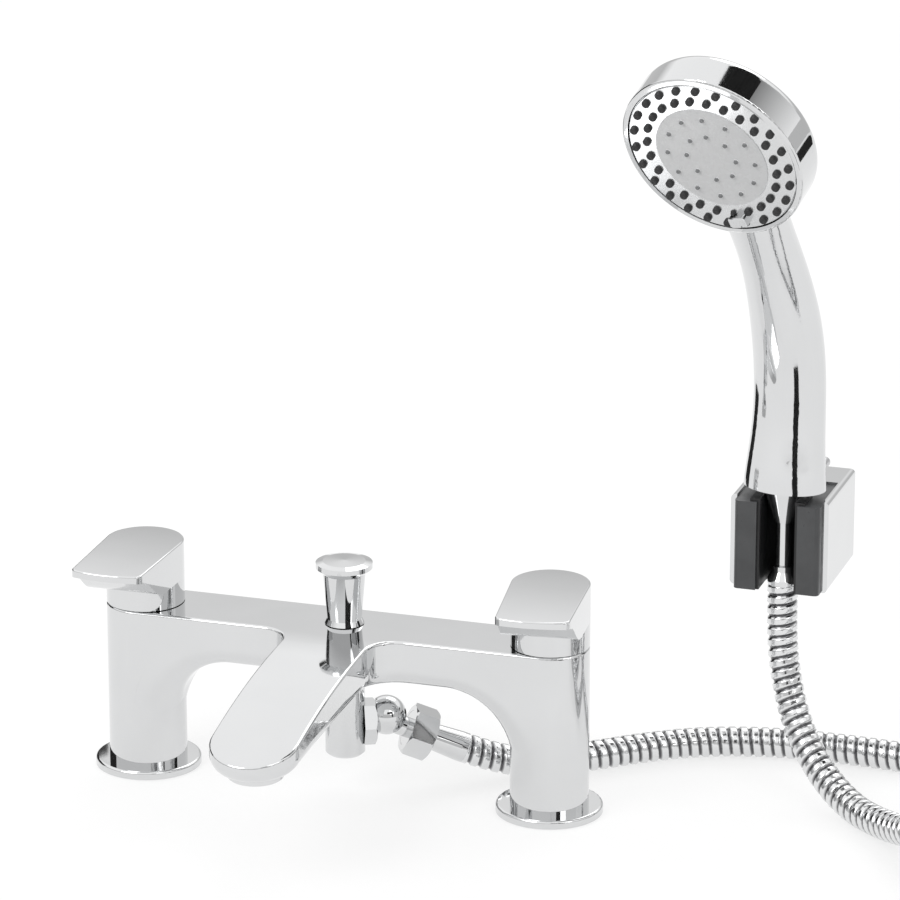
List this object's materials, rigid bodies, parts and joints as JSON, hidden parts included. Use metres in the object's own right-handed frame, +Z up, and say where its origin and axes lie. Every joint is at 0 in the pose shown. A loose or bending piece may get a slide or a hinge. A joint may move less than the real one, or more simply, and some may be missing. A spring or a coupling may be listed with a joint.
{
  "type": "bath shower mixer",
  "caption": "Deck-mounted bath shower mixer: bridge body with lever handles, flat spout, lift diverter, ribbed hose and a hand shower in a wall bracket.",
  "frame": {"origin": "on the deck plane, midway between the two tap holes", "axes": "+X to the cold side, +Z up, the spout points to -Y and the wall stands on the +Y side"},
  "size_m": [0.5182, 0.2622, 0.3814],
  "materials": {
    "chrome": "polished",
    "black_rubber": "matt",
    "brass": "machined",
    "ceramic": "ground",
    "steel": "bright",
    "hose_metal": "polished",
    "grey_plastic": "matt",
    "dark_grey_plastic": "satin",
    "black_plastic": "matt",
    "nozzle_rubber": "matt",
    "light_grey_plastic": "satin"
  },
  "bodies": {
    "root": {"mixer_body": "chrome", "aerator_housing": "chrome", "aerator_insert": "grey_plastic", "hot_base_flange": "chrome", "hot_base_gasket": "black_rubber", "hot_inlet_tail": "brass", "cold_base_flange": "chrome", "cold_base_gasket": "black_rubber", "cold_inlet_tail": "brass", "tail_backnuts": "brass", "tail_washers": "black_rubber", "hot_cartridge_body": "brass", "hot_cartridge_o_ring": "black_rubber", "hot_seat_seal": "black_rubber", "hot_fixed_disc": "ceramic", "cold_cartridge_body": "brass", "cold_cartridge_o_ring": "black_rubber", "cold_seat_seal": "black_rubber", "cold_fixed_disc": "ceramic", "diverter_gland": "brass", "diverter_gland_o_ring": "black_rubber", "diverter_spring": "steel", "diverter_lower_body": "chrome", "outlet_collar": "chrome", "outlet_elbow": "chrome", "hose_hex_nut": "chrome", "hose_lower_washer": "black_rubber", "hose_lower_ferrule": "chrome", "hose_mixer_run": "hose_metal", "hose_coil": "hose_metal", "hose_handset_run": "hose_metal", "bracket_wall_block": "chrome", "bracket_clip": "dark_grey_plastic", "bracket_liner": "black_plastic", "bracket_wall_screws": "steel"},
    "hot_lever": {"hot_lever": "chrome", "hot_lever_screw": "steel", "hot_spindle": "brass", "hot_moving_disc": "ceramic"},
    "cold_lever": {"cold_lever": "chrome", "cold_lever_screw": "steel", "cold_spindle": "brass", "cold_moving_disc": "ceramic"},
    "diverter": {"diverter_knob": "chrome", "diverter_rod": "brass", "diverter_plunger": "brass", "diverter_seals": "black_rubber", "diverter_spring_plate": "brass"},
    "hose_nut": {"hose_cone_nut": "chrome", "hose_upper_washer": "black_rubber", "hose_upper_ferrule": "chrome"},
    "handset": {"handset_shell": "chrome", "handset_inlet": "brass", "handset_distributor": "grey_plastic", "spray_face_seal": "black_rubber", "spray_face_screw": "steel"},
    "spray_face": {"spray_face_plate": "chrome", "spray_nozzle_mat": "nozzle_rubber", "spray_centre": "light_grey_plastic"}
  },
  "joints": [
    {"name": "hot_lever_turn", "type": "hinge", "parent": "root", "child": "hot_lever", "pos_m": [-0.09, 0, 0.0739], "axis": [0, 0, 1], "range_deg": [-90, 0]},
    {"name": "cold_lever_turn", "type": "hinge", "parent": "root", "child": "cold_lever", "pos_m": [0.09, 0, 0.0739], "axis": [0, 0, 1], "range_deg": [-7, 83]},
    {"name": "diverter_lift", "type": "slide", "parent": "root", "child": "diverter", "axis": [0, 0, 1], "range_m": [0, 0.0064], "deforming": ["diverter_spring"]},
    {"name": "handset_lift", "type": "slide", "parent": "root", "child": "hose_nut", "axis": [0, 0, 1], "range_m": [0, 0.04]},
    {"name": "handset_swivel", "type": "hinge", "parent": "hose_nut", "child": "handset", "pos_m": [0.174, 0.06, 0.133], "axis": [0, 0, 1], "continuous": true},
    {"name": "spray_select", "type": "hinge", "parent": "handset", "child": "spray_face", "pos_m": [0.1586, -0.01003, 0.2915], "axis": [-0.192, -0.8733, -0.4478], "range_deg": [-45, 45]}
  ]
}
